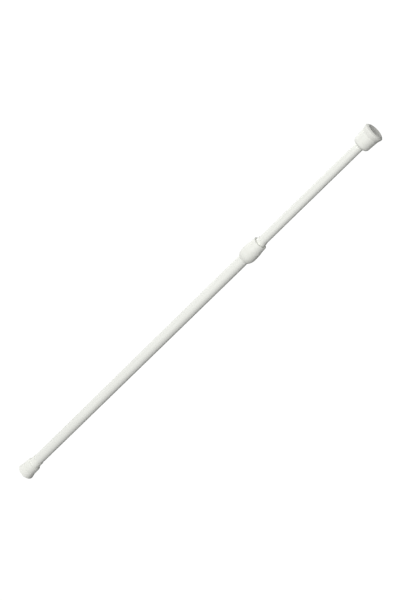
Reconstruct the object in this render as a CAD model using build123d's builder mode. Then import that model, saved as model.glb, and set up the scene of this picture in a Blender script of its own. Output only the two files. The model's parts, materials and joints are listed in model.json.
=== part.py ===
from build123d import *
import os

# Extendable tension rod for a curtain, in millimetres.
# The rod lies along X. X = 0 is the wall face of the left foot, and turned pieces are round about X.

# Tubes
outer_tube_diameter = 16.0
outer_tube_wall = 0.6
outer_tube_length = 521.0
inner_tube_wall = 0.5
inner_tube_length = 499.3
tube_gap = 0.9  # radial room between the two tubes
drawn_out = 200.3  # length of the inner tube beyond the mouth of the outer one, as the rod lies

# Clearances
press_gap = 0.05  # radial, between pieces that are pressed or pulled together
slide_gap = 0.1  # radial, between pieces that slide
turn_gap = 0.2  # axial, between pieces that turn against each other
stop_gap = 0.05  # axial, between a sprung piece and its stop

# Left end cap and foot
left_foot_length = 10.5
left_foot_wall = 2.05  # rubber round the spigot, at the foot's back
left_foot_flare = 2.0  # radius of the rim beyond the foot's back
left_foot_seat = 2.4  # width of the shoulder that the foot sits on
left_foot_lip = 2.6  # width of the lip round the cup
left_foot_bevel = 0.8
left_foot_cup_depth = 2.2
left_foot_floor = 2.5  # rubber between the cup and the spigot
left_ring_length = 12.7
left_ring_overhang = 2.7  # radius of the ring beyond the sleeve
left_ring_draft = 0.4  # radius that the ring loses towards the sleeve
left_ring_bevel = 0.7
left_sleeve_length = 10.3
left_sleeve_wall = 0.65
left_end_wall = 9.5  # from the foot to the end of the tube
left_plug_length = 16.0
left_plug_wall = 1.5

# Collar and guide bush at the mouth of the outer tube
collar_length = 33.8
collar_overhang = 1.5  # length of the collar beyond the tube's end
collar_back_wall = 0.8
collar_belly_wall = 3.9
collar_belly_from_back = 10.3
collar_belly_length = 3.0
collar_lip_length = 7.5
collar_lip_wall = 2.55  # where the lip leaves the barrel
collar_front_wall = 2.2
bush_length = 20.0
bush_groove_width = 1.0  # groove between the collar and the nose
bush_groove_depth = 0.7
bush_groove_setback = 0.2  # part of the groove's width that lies inside the collar
bush_nose_length = 5.0
bush_nose_taper = 1.05  # radius that the nose loses towards its end
bush_lead_in = 0.3

# Twist lock on the hidden end of the inner tube
lock_eccentricity = 0.5
lock_journal_gap = 0.5  # radial play of the ring on its journal
lock_ring_wall = 2.45  # half way between the thin side and the thick one
lock_ring_length = 13.6
lock_ring_gap = 0.15  # radial, ring to outer tube
lock_ring_slit = 1.2
lock_flange_thickness = 2.0
lock_flange_gap = 0.5  # radial, flange to outer tube
lock_stem_length = 20.0
lock_washer_overhang = 1.3  # radius of the washer beyond the journal
lock_washer_thickness = 1.4
screw_shank_diameter = 3.0
screw_shank_length = 12.0
screw_tip_room = 0.5  # left between the screw's tip and the bottom of its hole
screw_head_overhang = 1.5  # radius of the head beyond the shank
screw_head_height = 2.2
screw_slot_width = 0.9
screw_slot_depth = 0.8

# Sprung cap on the open end of the inner tube
cap_travel = 10.0
cap_stop_room = 0.2  # left between the flange and the plug when the cap is pressed home
cap_lip_wall = 0.8
cap_guide_length = 5.8
cap_shoulder_length = 4.7
cap_wall = 2.1
cap_draft = 0.95  # radius that the body gains from its shoulder to its mouth
ferrule_wall = 0.95
ferrule_length = 14.0
ferrule_flange_thickness = 1.6
ferrule_flange_grip = 2.8  # radius of the flange beyond the cap's bore
ferrule_flange_gap = 0.4  # radial, flange to the inside of the cap
plug_disc_thickness = 1.6
plug_rebate = 1.0  # depth of the step in the cap's mouth that the disc is pressed into
right_foot_length = 9.1
right_foot_wall = 4.4  # rubber round the spigot, at the foot's back
right_foot_setback = 0.2  # radius of the foot's back inside the cap's mouth
right_foot_flare = 1.75  # radius of the rim beyond the foot's back
right_foot_lip = 4.0  # width of the lip round the cup
right_foot_round = 2.6  # radius of the rounded rim
right_foot_cup_depth = 1.1
right_foot_floor = 3.9  # rubber between the cup and the spigot

# Spring behind the cap
spring_wire = 1.0
spring_wire_sides = 6
spring_pitch = 9.0
spring_length = 36.0
spring_gap = 0.2  # radial, spring to ferrule
spring_guide_gap = 0.4  # radial, spring to the pieces inside it
seat_length = 6.0
seat_boss_length = 4.0

# Radii that follow from the tubes
outer_radius = outer_tube_diameter / 2
outer_bore = outer_radius - outer_tube_wall
inner_radius = outer_bore - tube_gap
inner_bore = inner_radius - inner_tube_wall
tube_seat = outer_radius + press_gap
outer_plug = outer_bore - press_gap
inner_plug = inner_bore - press_gap
slide_bore = inner_radius + slide_gap

# Stations along the rod, from the left wall to the right one
left_spigot_end = left_foot_cup_depth + left_foot_floor
tube_start = left_foot_length + left_end_wall
tube_end = tube_start + outer_tube_length
inner_end = tube_end + drawn_out
inner_start = inner_end - inner_tube_length
disc_start = inner_end + ferrule_flange_thickness + cap_travel + cap_stop_room
disc_end = disc_start + plug_disc_thickness
right_wall = disc_end + right_foot_length
right_spigot_end = right_wall - right_foot_floor - right_foot_cup_depth


def corners_at(section, radius):
    """The corners of a half section that lie at one radius."""
    return section.vertices().filter_by_position(Axis.Y, radius, radius)


# Outer tube
with BuildPart() as outer_tube:
    with BuildSketch(Plane.YZ.offset(tube_start)):
        Circle(outer_radius)
        Circle(outer_bore, mode=Mode.SUBTRACT)
    extrude(amount=outer_tube_length)

# Inner tube
with BuildPart() as inner_tube:
    with BuildSketch(Plane.YZ.offset(inner_start)):
        Circle(inner_radius)
        Circle(inner_bore, mode=Mode.SUBTRACT)
    extrude(amount=inner_tube_length)

# Left end cap: a spigot for the foot, a ring, a sleeve over the tube and a cored plug inside it
left_sleeve = tube_seat + left_sleeve_wall
left_ring = left_sleeve + left_ring_overhang
left_ring_back = left_ring - left_ring_draft
left_spigot = left_ring - left_foot_seat
left_core = outer_plug - left_plug_wall
left_core_end = left_spigot_end + left_plug_wall
left_ring_end = left_foot_length + left_ring_length
left_sleeve_end = left_ring_end + left_sleeve_length
left_plug_end = tube_start + left_plug_length
with BuildPart() as left_cap:
    with BuildSketch() as left_cap_section:
        with BuildLine():
            Polyline(
                (left_spigot_end, 0),
                (left_spigot_end, left_spigot),
                (left_foot_length, left_spigot),
                (left_foot_length, left_ring),
                (left_ring_end, left_ring_back),
                (left_ring_end, left_sleeve),
                (left_sleeve_end, left_sleeve),
                (left_sleeve_end, tube_seat),
                (tube_start, tube_seat),
                (tube_start, outer_plug),
                (left_plug_end, outer_plug),
                (left_plug_end, left_core),
                (left_core_end, left_core),
                (left_core_end, 0),
                close=True,
            )
        make_face()
        chamfer(corners_at(left_cap_section, left_ring), left_ring_bevel)
        chamfer(corners_at(left_cap_section, left_ring_back), left_ring_bevel)
    revolve(axis=Axis.X)

# Left foot: a cupped rubber cap on the spigot, narrower towards the ring
left_foot_back = left_spigot + press_gap + left_foot_wall
left_rim = left_foot_back + left_foot_flare
left_cup = left_rim - left_foot_lip
with BuildPart() as left_foot:
    with BuildSketch() as left_foot_section:
        with BuildLine():
            Polyline(
                (left_foot_cup_depth, 0),
                (left_foot_cup_depth, left_cup),
                (0, left_cup),
                (0, left_rim),
                (left_foot_length, left_foot_back),
                (left_foot_length, left_spigot + press_gap),
                (left_spigot_end, left_spigot + press_gap),
                (left_spigot_end, 0),
                close=True,
            )
        make_face()
        chamfer(corners_at(left_foot_section, left_rim), left_foot_bevel)
    revolve(axis=Axis.X)

# Collar: a barrel on the tube's mouth, with a round back, an easy curve in front and a straight lip
collar_end = tube_end + collar_overhang
collar_start = collar_end - collar_length
collar_belly_x = collar_start + collar_belly_from_back
collar_belly_end = collar_belly_x + collar_belly_length
collar_lip_x = collar_end - collar_lip_length
collar_back = tube_seat + collar_back_wall
collar_belly = tube_seat + collar_belly_wall
collar_lip = tube_seat + collar_lip_wall
collar_front = tube_seat + collar_front_wall
with BuildPart() as collar:
    with BuildSketch():
        with BuildLine():
            TangentArc((collar_belly_x, collar_belly), (collar_start, collar_back), tangent=(-1, 0))
            Line((collar_belly_x, collar_belly), (collar_belly_end, collar_belly))
            TangentArc((collar_belly_end, collar_belly), (collar_lip_x, collar_lip), tangent=(1, 0))
            Polyline(
                (collar_lip_x, collar_lip),
                (collar_end, collar_front),
                (collar_end, tube_seat),
                (collar_start, tube_seat),
                (collar_start, collar_back),
            )
        make_face()
    revolve(axis=Axis.X)

# Guide bush: a sleeve in the tube's mouth, a flange in the collar, a groove and a tapered nose in front
bush_start = tube_end - bush_length
bush_groove_start = collar_end - bush_groove_setback
bush_nose_start = bush_groove_start + bush_groove_width
bush_end = bush_nose_start + bush_nose_length
bush_groove = outer_radius - bush_groove_depth
with BuildPart() as guide_bush:
    with BuildSketch():
        with BuildLine():
            Polyline(
                (bush_start, slide_bore),
                (bush_start, outer_plug),
                (tube_end, outer_plug),
                (tube_end, outer_radius),
                (bush_groove_start, outer_radius),
                (bush_groove_start, bush_groove),
                (bush_nose_start, bush_groove),
                (bush_nose_start, outer_radius),
                (bush_end, outer_radius - bush_nose_taper),
                (bush_end, slide_bore + bush_lead_in),
                (bush_end - bush_lead_in, slide_bore),
                close=True,
            )
        make_face()
    revolve(axis=Axis.X)

# Lock plug: a stem in the inner tube, a flange on its end and an eccentric journal with a screw hole
lock_flange_start = inner_start - lock_flange_thickness
lock_ring_start = lock_flange_start - turn_gap - lock_ring_length
journal_start = lock_ring_start - turn_gap
lock_ring_radius = outer_bore - lock_ring_gap
journal_radius = lock_ring_radius - lock_ring_wall - lock_journal_gap
screw_radius = screw_shank_diameter / 2
screw_hole = screw_radius + press_gap
with BuildPart() as lock_plug:
    with BuildSketch(Plane.YZ.offset(inner_start)):
        Circle(inner_plug)
    extrude(amount=lock_stem_length)
    with BuildSketch(Plane.YZ.offset(lock_flange_start)):
        Circle(outer_bore - lock_flange_gap)
    extrude(amount=lock_flange_thickness)
    with BuildSketch(Plane.YZ.offset(journal_start)):
        with Locations((0, lock_eccentricity)):
            Circle(journal_radius)
    extrude(amount=lock_flange_start - journal_start)
    with BuildSketch(Plane.YZ.offset(journal_start)):
        with Locations((0, lock_eccentricity)):
            Circle(screw_hole)
    extrude(amount=screw_shank_length + screw_tip_room, mode=Mode.SUBTRACT)

# Lock ring: an eccentric ring with a slit at its thin side, so that the journal can spread it
with BuildPart() as lock_ring:
    with BuildSketch(Plane.YZ.offset(lock_ring_start)):
        Circle(lock_ring_radius)
        with Locations((0, lock_eccentricity)):
            Circle(journal_radius + lock_journal_gap, mode=Mode.SUBTRACT)
        with Locations((0, lock_ring_radius / 2)):
            Rectangle(lock_ring_slit, lock_ring_radius, mode=Mode.SUBTRACT)
    extrude(amount=lock_ring_length)

# Lock washer on the journal's end
washer_start = journal_start - lock_washer_thickness
with BuildPart() as lock_washer:
    with BuildSketch(Plane.YZ.offset(washer_start)):
        with Locations((0, lock_eccentricity)):
            Circle(journal_radius + lock_washer_overhang)
            Circle(screw_hole, mode=Mode.SUBTRACT)
    extrude(amount=lock_washer_thickness)

# Lock screw, with a slotted head on the washer
screw_start = washer_start - screw_head_height
screw_head = screw_radius + screw_head_overhang
with BuildPart() as lock_screw:
    with BuildSketch(Plane.YZ.offset(screw_start)):
        with Locations((0, lock_eccentricity)):
            Circle(screw_head)
    extrude(amount=screw_head_height)
    with BuildSketch(Plane.YZ.offset(washer_start)):
        with Locations((0, lock_eccentricity)):
            Circle(screw_radius)
    extrude(amount=lock_washer_thickness + screw_shank_length)
    with BuildSketch(Plane.YZ.offset(screw_start)):
        with Locations((0, lock_eccentricity)):
            Rectangle(2 * screw_head, screw_slot_width)
    extrude(amount=screw_slot_depth, mode=Mode.SUBTRACT)

# Stop ferrule: a barrel in the open end of the inner tube, with the flange that keeps the cap on
ferrule_bore = inner_plug - ferrule_wall
ferrule_flange = slide_bore + ferrule_flange_grip
with BuildPart() as stop_ferrule:
    with BuildSketch(Plane.YZ.offset(inner_end)):
        Circle(inner_plug)
        Circle(ferrule_bore, mode=Mode.SUBTRACT)
    extrude(amount=-ferrule_length)
    with BuildSketch(Plane.YZ.offset(inner_end)):
        Circle(ferrule_flange)
        Circle(ferrule_bore, mode=Mode.SUBTRACT)
    extrude(amount=ferrule_flange_thickness)

# Spring, ground flat at both ends
spring_radius = ferrule_bore - spring_gap - spring_wire / 2
spring_end = disc_start - stop_gap
spring_start = spring_end - spring_length
with BuildPart() as spring:
    with BuildLine() as coil:
        Helix(
            spring_pitch,
            spring_length,
            spring_radius,
            center=(spring_start, 0, 0),
            direction=(1, 0, 0),
        )
    with BuildSketch(Plane(coil.line @ 0, z_dir=coil.line % 0)):
        RegularPolygon(spring_wire / 2, spring_wire_sides)
    sweep(path=coil.line, is_frenet=True)
    split(bisect_by=Plane.YZ.offset(spring_start), keep=Keep.TOP)
    split(bisect_by=Plane.YZ.offset(spring_end), keep=Keep.BOTTOM)

# Spring seat: a plug inside the inner tube, with a boss that centres the spring
spring_guide = spring_radius - spring_wire / 2 - spring_guide_gap
seat_end = spring_start - stop_gap
with BuildPart() as spring_seat:
    with BuildSketch(Plane.YZ.offset(seat_end)):
        Circle(inner_plug)
    extrude(amount=-seat_length)
    with BuildSketch(Plane.YZ.offset(seat_end)):
        Circle(spring_guide)
    extrude(amount=seat_boss_length)

# Right end cap: a lip on the inner tube, a rounded shoulder and a body that widens to its mouth
cap_shelf = inner_end - stop_gap
cap_lip = cap_shelf - cap_guide_length
cap_shoulder_x = cap_lip + cap_shoulder_length
cap_lip_radius = slide_bore + cap_lip_wall
cap_inside = ferrule_flange + ferrule_flange_gap
cap_shoulder = cap_inside + cap_wall
cap_mouth = cap_shoulder + cap_draft
disc_seat = cap_inside + plug_rebate
with BuildPart() as right_cap:
    with BuildSketch():
        with BuildLine():
            TangentArc(
                (cap_shoulder_x, cap_shoulder),
                (cap_lip, cap_lip_radius),
                tangent=(-1, 0),
            )
            Polyline(
                (cap_shoulder_x, cap_shoulder),
                (disc_end, cap_mouth),
                (disc_end, disc_seat),
                (disc_start, disc_seat),
                (disc_start, cap_inside),
                (cap_shelf, cap_inside),
                (cap_shelf, slide_bore),
                (cap_lip, slide_bore),
                (cap_lip, cap_lip_radius),
            )
        make_face()
    revolve(axis=Axis.X)

# Right plug: a disc pressed into the cap's mouth, with a spring guide behind and the foot's spigot in front
right_foot_back = cap_mouth - right_foot_setback
right_spigot = right_foot_back - right_foot_wall
with BuildPart() as right_plug:
    with BuildSketch():
        with BuildLine():
            Polyline(
                (cap_lip, 0),
                (cap_lip, spring_guide),
                (disc_start, spring_guide),
                (disc_start, disc_seat - press_gap),
                (disc_end, disc_seat - press_gap),
                (disc_end, right_spigot),
                (right_spigot_end, right_spigot),
                (right_spigot_end, 0),
                close=True,
            )
        make_face()
    revolve(axis=Axis.X)

# Right foot: a rubber foot that flares to a thick rounded rim, with a shallow cup in its face
right_rim = right_foot_back + right_foot_flare
right_rim_x = right_wall - right_foot_round
right_cup = right_rim - right_foot_lip
right_cup_floor = right_wall - right_foot_cup_depth
with BuildPart() as right_foot:
    with BuildSketch():
        with BuildLine():
            CenterArc(
                (right_rim_x, right_rim - right_foot_round),
                right_foot_round,
                start_angle=0,
                arc_size=90,
            )
            Polyline(
                (right_wall, right_rim - right_foot_round),
                (right_wall, right_cup),
                (right_cup_floor, right_cup),
                (right_cup_floor, 0),
                (right_spigot_end, 0),
                (right_spigot_end, right_spigot + press_gap),
                (disc_end, right_spigot + press_gap),
                (disc_end, right_foot_back),
                (right_rim_x, right_rim),
            )
        make_face()
    revolve(axis=Axis.X)

pieces = {
    "outer_tube": outer_tube,
    "collar": collar,
    "guide_bush": guide_bush,
    "left_cap": left_cap,
    "left_foot": left_foot,
    "lock_ring": lock_ring,
    "inner_tube": inner_tube,
    "lock_plug": lock_plug,
    "lock_washer": lock_washer,
    "lock_screw": lock_screw,
    "spring_seat": spring_seat,
    "spring": spring,
    "stop_ferrule": stop_ferrule,
    "right_cap": right_cap,
    "right_plug": right_plug,
    "right_foot": right_foot,
}
os.makedirs("parts", exist_ok=True)
for name, piece in pieces.items():
    piece.part.label = name
    export_step(piece.part, f"parts/{name}.step")
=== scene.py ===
import bmesh
import bpy
import json
import math
from mathutils import Matrix, Vector


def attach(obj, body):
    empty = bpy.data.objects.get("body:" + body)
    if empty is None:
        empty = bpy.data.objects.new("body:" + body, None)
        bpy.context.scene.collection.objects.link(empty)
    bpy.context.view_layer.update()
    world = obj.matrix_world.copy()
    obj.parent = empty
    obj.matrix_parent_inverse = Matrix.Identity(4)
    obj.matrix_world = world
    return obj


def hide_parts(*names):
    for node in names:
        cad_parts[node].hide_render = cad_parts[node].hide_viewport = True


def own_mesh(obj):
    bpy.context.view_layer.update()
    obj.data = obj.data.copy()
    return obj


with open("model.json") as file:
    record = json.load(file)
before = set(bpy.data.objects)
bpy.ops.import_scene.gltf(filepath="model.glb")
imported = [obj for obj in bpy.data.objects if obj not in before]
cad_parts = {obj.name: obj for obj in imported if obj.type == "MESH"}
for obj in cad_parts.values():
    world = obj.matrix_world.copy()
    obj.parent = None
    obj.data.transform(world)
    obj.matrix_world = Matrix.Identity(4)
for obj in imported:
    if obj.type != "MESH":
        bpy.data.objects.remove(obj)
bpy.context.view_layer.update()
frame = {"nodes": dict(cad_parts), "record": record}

# Pieces are drawn in millimetres. X runs along the rod from the left wall, and sizes across it are radii.
MM = 0.001
LEFT_WALL = 0.0
RIGHT_WALL = 763.8
PRESS_GAP = 0.05  # between pieces that are pressed or pulled together
SLIDE_GAP = 0.1  # between pieces that slide
STOP_GAP = 0.05  # along the rod, between the sprung cap and its stop

# How finely the pieces are drawn
SIDES = 128  # corners round a turned piece
EASY_CURVE = 12  # stations along a flat curve
DEEP_CURVE = 14  # stations along a full one
EDGE_FACES = 4  # faces across a rounded edge
CIRCULAR = 0.5  # bevel profile that follows a circle
SMOOTH_BELOW = math.radians(30)  # angle under which two faces are shaded as one
ON_STATION = 4e-6  # metres that a corner may lie off the station it belongs to
MERGED = 2e-6  # metres within which the corners of a turned piece become one


def let_go():
    """Leave edit mode with nothing selected."""
    if bpy.context.object and bpy.context.object.mode != "OBJECT":
        bpy.ops.object.mode_set(mode="OBJECT")
    bpy.ops.object.select_all(action="DESELECT")


def first_ring(name, corners, radius, place, turn):
    """The circle that a piece is drawn out from, with its place and turn in its mesh."""
    let_go()
    bpy.ops.mesh.primitive_circle_add(vertices=corners, radius=radius * MM, location=place, rotation=turn)
    piece = bpy.context.object
    piece.name = name
    piece.data.name = name
    bpy.ops.object.transform_apply(location=True, rotation=True, scale=True)
    return piece


def ring_edges(piece, x, radius):
    """Select the edges that run round the piece at one station and radius."""
    bpy.ops.mesh.select_all(action="DESELECT")
    shape = bmesh.from_edit_mesh(piece.data)
    for edge in shape.edges:
        edge.select = all(
            abs(v.co.x - x * MM) < ON_STATION and abs(math.hypot(v.co.y, v.co.z) - radius * MM) < ON_STATION
            for v in edge.verts
        )
    shape.select_flush_mode()
    bmesh.update_edit_mesh(piece.data)


def turned(name, stations, rounds=(), discs=(), looped=True):
    """Draw a circle out along the axis, station by station, then close it and round its edges."""
    x, radius = stations[0]
    piece = first_ring(name, SIDES, radius, (x * MM, 0, 0), (0, math.pi / 2, 0))
    bpy.ops.object.mode_set(mode="EDIT")
    bpy.ops.mesh.select_mode(type="EDGE")
    bpy.ops.mesh.select_all(action="SELECT")
    for next_x, next_radius in stations[1:] + (stations[:1] if looped else []):
        bpy.ops.mesh.extrude_edges_move(TRANSFORM_OT_translate={"value": ((next_x - x) * MM, 0, 0)})
        grow = next_radius / radius
        bpy.ops.transform.resize(value=(1, grow, grow), center_override=(next_x * MM, 0, 0))
        x, radius = next_x, next_radius
    for disc_x, disc_radius in discs:
        ring_edges(piece, disc_x, disc_radius)
        bpy.ops.mesh.edge_face_add()
    bpy.ops.mesh.select_all(action="SELECT")
    bpy.ops.mesh.remove_doubles(threshold=MERGED)
    bpy.ops.mesh.normals_make_consistent(inside=False)
    for edge_x, edge_radius, width in rounds:
        ring_edges(piece, edge_x, edge_radius)
        bpy.ops.mesh.bevel(offset=width * MM, segments=EDGE_FACES, profile=CIRCULAR, affect="EDGES")
    bpy.ops.object.mode_set(mode="OBJECT")
    bpy.ops.object.shade_smooth_by_angle(angle=SMOOTH_BELOW)
    return piece


def arc(start, end, slope, steps):
    """Stations along the circle that leaves a start point along a slope and ends at a second point."""
    along = Vector((end[0] - start[0], end[1] - start[1]))
    heading = Vector(slope).normalized()
    bend = 2 * math.atan2(heading.x * along.y - heading.y * along.x, heading.dot(along))
    reach = along.length / (2 * math.sin(bend / 2))
    points = []
    for step in range(1, steps + 1):
        part = bend * step / steps
        ahead = reach * math.sin(part)
        aside = reach * (1 - math.cos(part))
        x = start[0] + heading.x * ahead - heading.y * aside
        radius = start[1] + heading.y * ahead + heading.x * aside
        points.append((x, radius))
    return points


# The two tubes, with the cut ends just broken
OUTER_TUBE = 8.0
OUTER_BORE = 7.4
INNER_TUBE = 6.5
INNER_BORE = 6.0
TUBE_START = 20.0
TUBE_END = 541.0
INNER_START = 242.0
INNER_END = 741.3
CUT_EDGE = 0.12
TUBE_SEAT = OUTER_TUBE + PRESS_GAP  # bore of what is pressed over the outer tube
OUTER_PLUG = OUTER_BORE - PRESS_GAP  # what is pressed into the outer tube
SLIDE_BORE = INNER_TUBE + SLIDE_GAP  # bore that runs on the inner tube


def cut_tube(name, start, end, radius, bore):
    """A plain length of tube."""
    return turned(
        name,
        [(start, radius), (end, radius), (end, bore), (start, bore)],
        rounds=[(start, radius, CUT_EDGE), (end, radius, CUT_EDGE)],
    )


wide_tube = cut_tube("wide_tube", TUBE_START, TUBE_END, OUTER_TUBE, OUTER_BORE)
thin_tube = cut_tube("thin_tube", INNER_START, INNER_END, INNER_TUBE, INNER_BORE)

# Collar: a barrel with a round back and an easy front, and a straight lip with a rounded edge
COLLAR_START = 508.7
COLLAR_END = 542.5
COLLAR_BACK = 8.85
BELLY_X = 519.0
BELLY_END = 522.0
COLLAR_BELLY = 11.95
LIP_X = 535.0
COLLAR_LIP = 10.6
COLLAR_FRONT = 10.25
COLLAR_FRONT_EDGE = 0.4
COLLAR_MOUTH_EDGE = 0.15
back_curve = arc((BELLY_X, COLLAR_BELLY), (COLLAR_START, COLLAR_BACK), (-1, 0), DEEP_CURVE)
mouth_collar = turned(
    "mouth_collar",
    [(COLLAR_START, TUBE_SEAT)]
    + back_curve[::-1]
    + [(BELLY_X, COLLAR_BELLY), (BELLY_END, COLLAR_BELLY)]
    + arc((BELLY_END, COLLAR_BELLY), (LIP_X, COLLAR_LIP), (1, 0), EASY_CURVE)
    + [(COLLAR_END, COLLAR_FRONT), (COLLAR_END, TUBE_SEAT)],
    rounds=[(COLLAR_END, COLLAR_FRONT, COLLAR_FRONT_EDGE), (COLLAR_END, TUBE_SEAT, COLLAR_MOUTH_EDGE)],
)

# Guide bush: its slim tapered nose shows in front of the collar, behind a dark groove
BUSH_START = 521.0
GROOVE_START = 542.3
GROOVE = 7.1
NOSE_START = 543.3
NOSE = 7.6
NOSE_END = 548.3
NOSE_TIP = 6.95
LEAD_IN = 0.3  # chamfer of the bore at the nose's end
guide_nose = turned(
    "guide_nose",
    [
        (BUSH_START, SLIDE_BORE),
        (BUSH_START, OUTER_PLUG),
        (TUBE_END, OUTER_PLUG),
        (TUBE_END, OUTER_TUBE),
        (GROOVE_START, OUTER_TUBE),
        (GROOVE_START, GROOVE),
        (NOSE_START, GROOVE),
        (NOSE_START, NOSE),
        (NOSE_END, NOSE_TIP),
        (NOSE_END, SLIDE_BORE + LEAD_IN),
        (NOSE_END - LEAD_IN, SLIDE_BORE),
    ],
)

# Left end cap: a spigot for the foot, a ring and a sleeve outside, and a hollow plug in the tube
LEFT_SPIGOT = 9.0
LEFT_SPIGOT_END = 4.7
RING_START = 10.5
LEFT_RING = 11.4
RING_SLOPE = 21.5  # where the ring starts to slope down to the sleeve
LEFT_RING_BACK = 11.0
RING_END = 23.2
LEFT_RING_FOOT = 9.2
LEFT_SLEEVE = 8.7
SLEEVE_END = 33.5
LEFT_PLUG_END = 36.0
LEFT_CORE = 5.85  # the hollow of the plug
LEFT_CORE_FLOOR = 6.2
RING_EDGE = 0.7
RING_SLOPE_EDGE = 0.6
RING_FOOT_EDGE = 0.4
SLEEVE_EDGE = 0.35
wall_cap = turned(
    "wall_cap",
    [
        (LEFT_SPIGOT_END, LEFT_SPIGOT),
        (RING_START, LEFT_SPIGOT),
        (RING_START, LEFT_RING),
        (RING_SLOPE, LEFT_RING_BACK),
        (RING_END, LEFT_RING_FOOT),
        (RING_END, LEFT_SLEEVE),
        (SLEEVE_END, LEFT_SLEEVE),
        (SLEEVE_END, TUBE_SEAT),
        (TUBE_START, TUBE_SEAT),
        (TUBE_START, OUTER_PLUG),
        (LEFT_PLUG_END, OUTER_PLUG),
        (LEFT_PLUG_END, LEFT_CORE),
        (LEFT_CORE_FLOOR, LEFT_CORE),
    ],
    rounds=[
        (RING_START, LEFT_RING, RING_EDGE),
        (RING_SLOPE, LEFT_RING_BACK, RING_SLOPE_EDGE),
        (RING_END, LEFT_SLEEVE, RING_FOOT_EDGE),
        (SLEEVE_END, LEFT_SLEEVE, SLEEVE_EDGE),
    ],
    discs=[(LEFT_SPIGOT_END, LEFT_SPIGOT), (LEFT_CORE_FLOOR, LEFT_CORE)],
    looped=False,
)

# Left foot: rubber on the spigot, with a cup in its wall face
LEFT_RIM = 13.1
LEFT_FOOT_BACK = 11.1
LEFT_SOCKET = LEFT_SPIGOT + PRESS_GAP
LEFT_CUP = 10.5
LEFT_CUP_FLOOR = 2.2
LEFT_RIM_EDGE = 0.8
LEFT_CUP_EDGE = 0.4
LEFT_BACK_EDGE = 0.5
left_pad = turned(
    "left_pad",
    [
        (LEFT_CUP_FLOOR, LEFT_CUP),
        (LEFT_WALL, LEFT_CUP),
        (LEFT_WALL, LEFT_RIM),
        (RING_START, LEFT_FOOT_BACK),
        (RING_START, LEFT_SOCKET),
        (LEFT_SPIGOT_END, LEFT_SOCKET),
    ],
    rounds=[
        (LEFT_WALL, LEFT_RIM, LEFT_RIM_EDGE),
        (LEFT_WALL, LEFT_CUP, LEFT_CUP_EDGE),
        (RING_START, LEFT_FOOT_BACK, LEFT_BACK_EDGE),
    ],
    discs=[(LEFT_CUP_FLOOR, LEFT_CUP), (LEFT_SPIGOT_END, LEFT_SOCKET)],
    looped=False,
)

# Right end cap: it slides on the thin tube, and its stop and spring are inside
CAP_LIP_X = 735.45
CAP_LIP = 7.4
SHOULDER_X = 740.15
SHOULDER = 11.9
CAP_MOUTH_X = 754.7
CAP_MOUTH = 12.85
DISC_SEAT_X = 753.1
DISC_SEAT = 10.8  # step in the mouth for the disc that closes the cap
CAP_HOLLOW = 9.8
CAP_STOP_X = INNER_END - STOP_GAP  # wall inside the cap that meets the flange on the thin tube
CAP_MOUTH_EDGE = 0.25
CAP_LIP_EDGE = 0.2
shoulder_curve = arc((SHOULDER_X, SHOULDER), (CAP_LIP_X, CAP_LIP), (-1, 0), DEEP_CURVE)
sprung_cap = turned(
    "sprung_cap",
    [(CAP_LIP_X, SLIDE_BORE)]
    + shoulder_curve[::-1]
    + [
        (SHOULDER_X, SHOULDER),
        (CAP_MOUTH_X, CAP_MOUTH),
        (CAP_MOUTH_X, DISC_SEAT),
        (DISC_SEAT_X, DISC_SEAT),
        (DISC_SEAT_X, CAP_HOLLOW),
        (CAP_STOP_X, CAP_HOLLOW),
        (CAP_STOP_X, SLIDE_BORE),
    ],
    rounds=[(CAP_MOUTH_X, CAP_MOUTH, CAP_MOUTH_EDGE), (CAP_LIP_X, SLIDE_BORE, CAP_LIP_EDGE)],
)

# Right foot: flared rubber, with a sloped lip round a shallow dish
FOOT_BACK = 12.65
FOOT_SOCKET = 8.3
FOOT_SOCKET_END = 758.8
RIM_X = 761.2
FOOT_RIM = 14.5  # corner of the rim before it is rounded, which leaves 14.4
RIM_EDGE = 0.5
LIP_SLOPE = (1, -0.8)  # of the lip where it leaves the rim
FOOT_LIP = 10.8  # where the sloped lip ends
FOOT_DISH = 10.5
DISH_FLOOR_X = 762.7
dish = arc((DISH_FLOOR_X, 0), (RIGHT_WALL, FOOT_DISH), (0, 1), EASY_CURVE)
flared_pad = turned(
    "flared_pad",
    [
        (FOOT_SOCKET_END, FOOT_SOCKET),
        (CAP_MOUTH_X, FOOT_SOCKET),
        (CAP_MOUTH_X, FOOT_BACK),
        (RIM_X, FOOT_RIM),
    ]
    + arc((RIM_X, FOOT_RIM), (RIGHT_WALL, FOOT_LIP), LIP_SLOPE, EASY_CURVE)
    + dish[::-1],
    rounds=[(RIM_X, FOOT_RIM, RIM_EDGE)],
    discs=[(FOOT_SOCKET_END, FOOT_SOCKET), dish[0]],
    looped=False,
)

# Spring behind the cap: round wire, wound from a ring across the wire and ground flat at both ends
SPRING_START = 717.05
SPRING_TURNS = 4
SPRING_PITCH = 9.0
SPRING_LENGTH = SPRING_TURNS * SPRING_PITCH
SPRING_RADIUS = 4.3
WIRE_RADIUS = 0.5
WIRE_SIDES = 16
WINDING_STEPS = 48  # in one turn
WIRE_MERGED = 1e-6  # metres within which the wire's corners become one
GROUND_FLAT = 1e-7  # metres that a corner on the ground face may lie off it
cap_spring = first_ring(
    "cap_spring",
    WIRE_SIDES,
    WIRE_RADIUS,
    (SPRING_START * MM, 0, SPRING_RADIUS * MM),
    (math.pi / 2, 0, math.atan2(SPRING_PITCH, math.tau * SPRING_RADIUS)),
)
winding = cap_spring.modifiers.new("winding", "SCREW")
winding.axis = "X"
winding.angle = math.tau
winding.screw_offset = SPRING_PITCH * MM
winding.iterations = SPRING_TURNS
winding.steps = WINDING_STEPS
bpy.ops.object.modifier_apply(modifier="winding")
bpy.ops.object.mode_set(mode="EDIT")
bpy.ops.mesh.select_all(action="SELECT")
bpy.ops.mesh.remove_doubles(threshold=WIRE_MERGED)
bpy.ops.mesh.fill_holes(sides=0)
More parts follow.
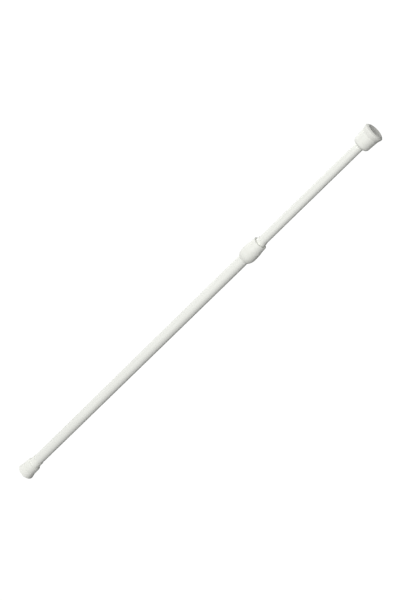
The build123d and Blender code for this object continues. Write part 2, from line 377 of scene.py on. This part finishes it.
for end, below in ((SPRING_START, True), (SPRING_START + SPRING_LENGTH, False)):
    bpy.ops.mesh.select_all(action="SELECT")
    bpy.ops.mesh.bisect(
        plane_co=(end * MM, 0, 0),
        plane_no=(1, 0, 0),
        use_fill=True,
        clear_inner=below,
        clear_outer=not below,
        threshold=GROUND_FLAT,
    )
bpy.ops.mesh.select_all(action="SELECT")
bpy.ops.mesh.normals_make_consistent(inside=False)
bpy.ops.object.mode_set(mode="OBJECT")
bpy.ops.object.shade_smooth_by_angle(angle=SMOOTH_BELOW)

# Finishes: noise keeps near its middle, so two colours are blended between these levels of it
NOISE_LOW = 0.3
NOISE_HIGH = 0.7


def finish_nodes(name, colour, roughness):
    """A new material with a plain colour and roughness, and the place that its patterns read."""
    finish = bpy.data.materials.new(name)
    finish.use_nodes = True
    nodes = finish.node_tree.nodes
    shader = nodes["Principled BSDF"]
    shader.inputs["Base Color"].default_value = (*colour, 1)
    shader.inputs["Roughness"].default_value = roughness
    place = nodes.new("ShaderNodeTexCoord")
    return finish, nodes, finish.node_tree.links, shader, place.outputs["Object"]


def mottle(nodes, links, place, stretch, scale, detail):
    """Noise over the piece, drawn out along the rod by the stretch."""
    mapping = nodes.new("ShaderNodeMapping")
    mapping.inputs["Scale"].default_value = (1 / stretch, 1, 1)
    noise = nodes.new("ShaderNodeTexNoise")
    noise.inputs["Scale"].default_value = scale
    noise.inputs["Detail"].default_value = detail
    links.new(place, mapping.inputs["Vector"])
    links.new(mapping.outputs["Vector"], noise.inputs["Vector"])
    return noise.outputs["Fac"]


def tint(nodes, links, shader, pattern, low, high):
    """Two close colours blended by a pattern."""
    ramp = nodes.new("ShaderNodeValToRGB")
    ramp.color_ramp.elements[0].position = NOISE_LOW
    ramp.color_ramp.elements[1].position = NOISE_HIGH
    ramp.color_ramp.elements[0].color = (*low, 1)
    ramp.color_ramp.elements[1].color = (*high, 1)
    links.new(pattern, ramp.inputs["Fac"])
    links.new(ramp.outputs["Color"], shader.inputs["Base Color"])


def gloss(nodes, links, shader, pattern, low, high):
    """Roughness that wanders between two levels."""
    spread = nodes.new("ShaderNodeMapRange")
    spread.inputs["To Min"].default_value = low
    spread.inputs["To Max"].default_value = high
    links.new(pattern, spread.inputs["Value"])
    links.new(spread.outputs["Result"], shader.inputs["Roughness"])


def relief(nodes, links, shader, pattern, strength, depth):
    """Fine surface relief from a pattern, its depth in metres."""
    bump = nodes.new("ShaderNodeBump")
    bump.inputs["Strength"].default_value = strength
    bump.inputs["Distance"].default_value = depth
    links.new(pattern, bump.inputs["Height"])
    links.new(bump.outputs["Normal"], shader.inputs["Normal"])


def white_enamel():
    """Baked white enamel on steel: a green tinge, soft orange peel and long faint streaks."""
    finish, nodes, links, shader, place = finish_nodes("white_enamel", (0.86, 0.87, 0.83), 0.5)
    shader.inputs["Specular IOR Level"].default_value = 0.3
    streaks = mottle(nodes, links, place, stretch=25, scale=260, detail=3)
    tint(nodes, links, shader, streaks, low=(0.835, 0.845, 0.795), high=(0.875, 0.885, 0.84))
    peel = mottle(nodes, links, place, stretch=1.5, scale=650, detail=2)
    gloss(nodes, links, shader, peel, low=0.42, high=0.58)
    relief(nodes, links, shader, peel, strength=0.25, depth=0.00006)
    return finish


def moulded_white():
    """White moulded plastic, a little creamier than the enamel, with a fine satin grain."""
    finish, nodes, links, shader, place = finish_nodes("moulded_white", (0.87, 0.88, 0.835), 0.5)
    shader.inputs["Specular IOR Level"].default_value = 0.3
    cloud = mottle(nodes, links, place, stretch=1, scale=180, detail=3)
    tint(nodes, links, shader, cloud, low=(0.85, 0.86, 0.80), high=(0.88, 0.89, 0.84))
    grain = mottle(nodes, links, place, stretch=1, scale=2200, detail=2)
    gloss(nodes, links, shader, grain, low=0.45, high=0.6)
    relief(nodes, links, shader, grain, strength=0.2, depth=0.00003)
    return finish


def pale_rubber():
    """Pale rubber: matt, faintly mottled, with a dusty grain."""
    finish, nodes, links, shader, place = finish_nodes("pale_rubber", (0.86, 0.865, 0.815), 0.8)
    shader.inputs["Specular IOR Level"].default_value = 0.2
    cloud = mottle(nodes, links, place, stretch=1, scale=420, detail=4)
    tint(nodes, links, shader, cloud, low=(0.84, 0.845, 0.79), high=(0.88, 0.885, 0.84))
    grain = mottle(nodes, links, place, stretch=1, scale=3000, detail=2)
    gloss(nodes, links, shader, grain, low=0.7, high=0.9)
    relief(nodes, links, shader, grain, strength=0.3, depth=0.00005)
    return finish


def plain_moulding(name, low, high):
    """Moulded plastic inside the rod, with no polish."""
    finish, nodes, links, shader, place = finish_nodes(name, high, 0.55)
    cloud = mottle(nodes, links, place, stretch=1, scale=300, detail=3)
    tint(nodes, links, shader, cloud, low, high)
    grain = mottle(nodes, links, place, stretch=1, scale=1800, detail=2)
    gloss(nodes, links, shader, grain, low=0.45, high=0.65)
    relief(nodes, links, shader, grain, strength=0.2, depth=0.00004)
    return finish


def worked_steel(name, low, high, stretch):
    """Zinc plated or drawn steel, with fine marks along its working."""
    finish, nodes, links, shader, place = finish_nodes(name, high, 0.35)
    shader.inputs["Metallic"].default_value = 1.0
    marks = mottle(nodes, links, place, stretch, scale=1500, detail=4)
    tint(nodes, links, shader, marks, low, high)
    gloss(nodes, links, shader, marks, low=0.25, high=0.45)
    relief(nodes, links, shader, marks, strength=0.15, depth=0.00002)
    return finish


FINISHES = {
    "tube_enamel": white_enamel(),
    "cap_plastic": moulded_white(),
    "foot_rubber": pale_rubber(),
    "inner_plastic": plain_moulding("natural_moulding", low=(0.70, 0.70, 0.66), high=(0.80, 0.80, 0.77)),
    "lock_plastic": plain_moulding("dark_moulding", low=(0.03, 0.03, 0.034), high=(0.06, 0.06, 0.066)),
    "bare_steel": worked_steel("zinc_plated", low=(0.52, 0.53, 0.55), high=(0.66, 0.66, 0.67), stretch=1),
    "spring_steel": worked_steel("drawn_wire", low=(0.33, 0.33, 0.34), high=(0.48, 0.48, 0.49), stretch=6),
}

# Each new piece with the node it stands for, the body it rides on and its finish
PIECES = [
    (wide_tube, "outer_tube", "outer", "tube_enamel"),
    (thin_tube, "inner_tube", "inner", "tube_enamel"),
    (mouth_collar, "collar", "outer", "cap_plastic"),
    (guide_nose, "guide_bush", "outer", "cap_plastic"),
    (wall_cap, "left_cap", "outer", "cap_plastic"),
    (left_pad, "left_foot", "outer", "foot_rubber"),
    (sprung_cap, "right_cap", "end_cap", "cap_plastic"),
    (flared_pad, "right_foot", "end_cap", "foot_rubber"),
    (cap_spring, "spring", "inner", "spring_steel"),
]
for piece, node, body, slot in PIECES:
    piece.data.materials.clear()
    piece.data.materials.append(FINISHES[slot])
    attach(piece, body)
    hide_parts(node)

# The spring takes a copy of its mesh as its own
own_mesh(cap_spring)

# The CAD nodes take the same finishes
for subpart in frame["record"]["subparts"]:
    node = frame["nodes"][subpart["node"]]
    for material_slot in node.material_slots:
        material_slot.material = FINISHES[subpart["material_slot"]]


def seen_directly(nodes, links):
    """One where the eye, a reflection or clear stuff looks straight at the surface, nought elsewhere."""
    path = nodes.new("ShaderNodeLightPath")
    first = nodes.new("ShaderNodeMath")
    second = nodes.new("ShaderNodeMath")
    first.operation = "MAXIMUM"
    second.operation = "MAXIMUM"
    links.new(path.outputs["Is Camera Ray"], first.inputs[0])
    links.new(path.outputs["Is Glossy Ray"], first.inputs[1])
    links.new(first.outputs[0], second.inputs[0])
    links.new(path.outputs["Is Transmission Ray"], second.inputs[1])
    return second.outputs[0]


# Floor, in metres: well below the rod, white to the eye and a softer grey in what it throws back
FLOOR_SIZE = 16
FLOOR_PLACE = (0.38, 0, -0.45)
FLOOR_GREY = 0.2
FLOOR_GLOW = 0.85
let_go()
bpy.ops.mesh.primitive_plane_add(size=FLOOR_SIZE, location=FLOOR_PLACE)
floor = bpy.context.object
floor.name = "floor"
pale = bpy.data.materials.new("pale_floor")
pale.use_nodes = True
floor_nodes = pale.node_tree.nodes
floor_links = pale.node_tree.links
floor_nodes.remove(floor_nodes["Principled BSDF"])
sheet = floor_nodes.new("ShaderNodeBsdfDiffuse")
sheet.inputs["Color"].default_value = (FLOOR_GREY, FLOOR_GREY, FLOOR_GREY, 1)
glow = floor_nodes.new("ShaderNodeEmission")
both = floor_nodes.new("ShaderNodeAddShader")
level = floor_nodes.new("ShaderNodeMath")
level.operation = "MULTIPLY"
level.inputs[1].default_value = FLOOR_GLOW
floor_links.new(seen_directly(floor_nodes, floor_links), level.inputs[0])
floor_links.new(level.outputs[0], glow.inputs["Strength"])
floor_links.new(sheet.outputs[0], both.inputs[0])
floor_links.new(glow.outputs[0], both.inputs[1])
floor_links.new(both.outputs[0], floor_nodes["Material Output"].inputs["Surface"])
floor.data.materials.append(pale)

# Room light: even and white to the eye, dimmer as light
WHITE = (1, 1, 1, 1)
ROOM_LIGHT = 0.13
scene = bpy.context.scene
scene.view_settings.view_transform = "Standard"
world = bpy.data.worlds.new("studio")
scene.world = world
world.use_nodes = True
sky_nodes = world.node_tree.nodes
sky_links = world.node_tree.links
room = sky_nodes["Background"]
room.inputs["Color"].default_value = WHITE
room.inputs["Strength"].default_value = ROOM_LIGHT
backdrop = sky_nodes.new("ShaderNodeBackground")
backdrop.inputs["Color"].default_value = WHITE
backdrop.inputs["Strength"].default_value = 1.0
pick = sky_nodes.new("ShaderNodeMixShader")
sky_links.new(seen_directly(sky_nodes, sky_links), pick.inputs["Fac"])
sky_links.new(room.outputs[0], pick.inputs[1])
sky_links.new(backdrop.outputs[0], pick.inputs[2])
sky_links.new(pick.outputs[0], sky_nodes["World Output"].inputs["Surface"])

# Camera, in metres: the rod climbs across the picture and its right end leans towards the eye
SLOPE = math.radians(44.3215)  # climb of the rod in the picture
LEAN = math.radians(26.634)  # lean of its right end out of the picture
ABOVE = math.radians(45)  # turn about the rod's axis that puts the eye above it
ROD_MIDDLE = Vector((0.3815, 0, 0))
MIDDLE_SEEN = Vector((-0.022459, -0.023207, -1.86751))  # that point from the eye: right, up, back
LENS = 79.996  # millimetres
SENSOR = 36  # millimetres
SIGHT = 40  # how far the eye sees
rod = Vector((math.cos(LEAN) * math.cos(SLOPE), math.cos(LEAN) * math.sin(SLOPE), math.sin(LEAN)))
across = Vector((-math.sin(SLOPE), math.cos(SLOPE), 0))
up = math.cos(ABOVE) * across + math.sin(ABOVE) * rod.cross(across)
facing = Matrix((rod, up.cross(rod), up))
eye = ROD_MIDDLE - facing @ MIDDLE_SEEN
let_go()
bpy.ops.object.camera_add(location=eye, rotation=facing.to_euler())
camera = bpy.context.object
camera.name = "camera"
camera.data.lens = LENS
camera.data.sensor_width = SENSOR
camera.data.clip_end = SIGHT
scene.camera = camera

# Lamps, in metres and watts
LAMP_AIM = Vector((0.4, 0, 0))


def soft_box(name, place, size, power):
    """A square studio lamp that faces the rod."""
    let_go()
    look = (LAMP_AIM - Vector(place)).to_track_quat("-Z", "Y")
    bpy.ops.object.light_add(type="AREA", location=place, rotation=look.to_euler())
    lamp = bpy.context.object
    lamp.name = name
    lamp.data.shape = "SQUARE"
    lamp.data.size = size
    lamp.data.energy = power


soft_box("key", place=(3.1, -4.75, 10.68), size=5.5, power=1300)
soft_box("back", place=(0.4, 4.83, 1.29), size=2.0, power=110)
